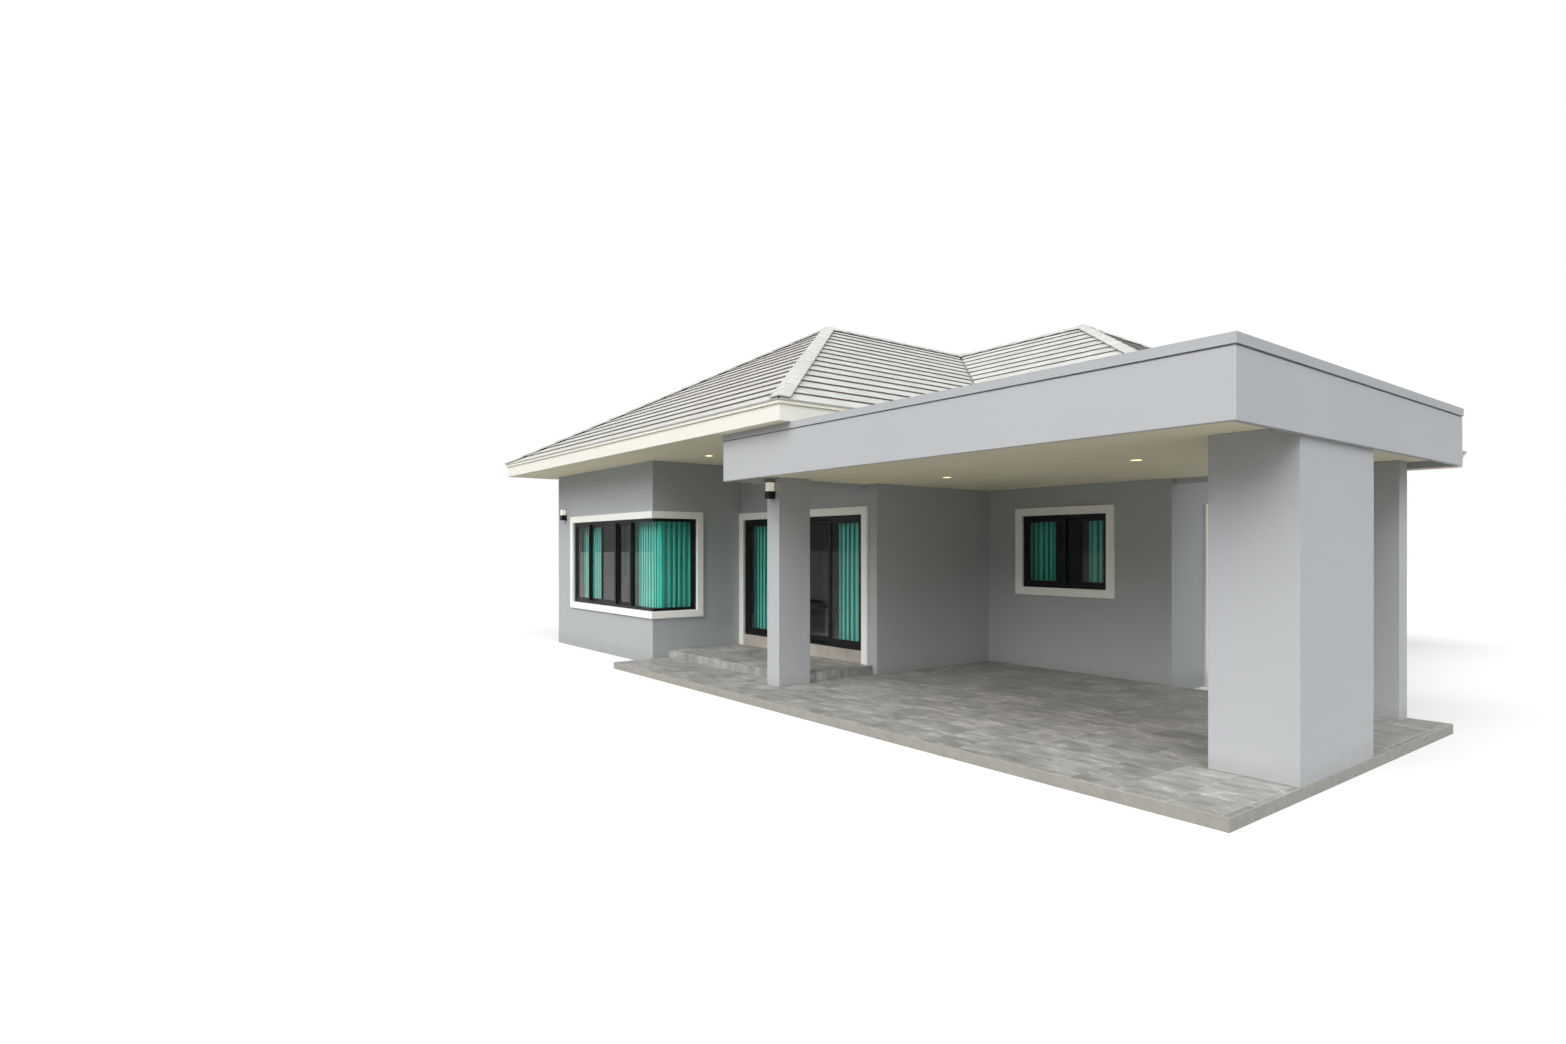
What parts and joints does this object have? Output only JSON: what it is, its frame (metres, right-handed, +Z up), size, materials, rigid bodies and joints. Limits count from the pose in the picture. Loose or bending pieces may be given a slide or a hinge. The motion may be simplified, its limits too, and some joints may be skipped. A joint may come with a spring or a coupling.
{
  "type": "bungalow with carport",
  "caption": "Single-storey house with a hipped L-shaped tile roof, a corner window, sliding entry doors and a flat-roofed carport.",
  "frame": {"origin": "at ground level, under the middle of the main block's floor", "axes": "+Z up, -Y towards the front with the entry and the carport's open side, +X towards the carport"},
  "size_m": [14.423, 13.345, 6.3006],
  "materials": {
    "wall_paint": "matt painted render",
    "post_paint": "matt painted render",
    "white_render": "smooth painted bands",
    "ceiling_board": "matt painted board",
    "fascia_board": "satin painted board",
    "cap_metal": "satin painted sheet",
    "roof_tile": "painted concrete tiles",
    "floor_tile": "matt stone-look tiles",
    "house_slab": "smooth tiles over a solid floor",
    "dark_frame": "satin dark coating",
    "glass": "clear",
    "door_paint": "satin paint",
    "lamp_metal": "satin dark coating",
    "light_lens": "warm frosted lens",
    "rail_paint": "white coating",
    "curtain_cloth": "soft woven cloth"
  },
  "bodies": {
    "root": {"house_floor": "house_slab", "carport_floor": "floor_tile", "entry_terrace": "floor_tile", "front_wall": "wall_paint", "wing_side_wall": "wall_paint", "entry_wall_left": "wall_paint", "entry_wall_right": "wall_paint", "entry_wall_over": "wall_paint", "carport_side_wall": "wall_paint", "carport_back_wall": "wall_paint", "east_wall": "wall_paint", "rear_wall": "wall_paint", "west_wall": "wall_paint", "entry_column": "post_paint", "front_pier": "post_paint", "rear_column": "post_paint", "carport_roof": "ceiling_board", "carport_fascia": "post_paint", "carport_cap": "cap_metal", "roof_wing_front": "roof_tile", "roof_wing_east": "roof_tile", "roof_main_front": "roof_tile", "roof_main_east": "roof_tile", "roof_rear": "roof_tile", "roof_west": "roof_tile", "ridge_and_hip_caps": "roof_tile", "eave_fascia": "fascia_board", "eave_soffit": "ceiling_board", "house_ceiling": "ceiling_board", "window_surrounds": "white_render", "door_surrounds": "white_render", "corner_window_frame": "dark_frame", "corner_window_glass": "glass", "window_frames": "dark_frame", "window_glass": "glass", "entry_frame": "dark_frame", "entry_fixed_glass": "glass", "side_door": "door_paint", "side_step": "floor_tile", "wall_lamps": "lamp_metal", "downlights": "light_lens", "curtain_rails": "rail_paint", "curtains": "curtain_cloth"},
    "left_panel": {"left_sliding_panel": "dark_frame", "left_sliding_glass": "glass"},
    "right_panel": {"right_sliding_panel": "dark_frame", "right_sliding_glass": "glass"}
  },
  "joints": [
    {"name": "left_panel_slide", "type": "slide", "parent": "root", "child": "left_panel", "axis": [-1, 0, 0], "range_m": [0, 0.69]},
    {"name": "right_panel_slide", "type": "slide", "parent": "root", "child": "right_panel", "axis": [1, 0, 0], "range_m": [0, 0.69]}
  ]
}
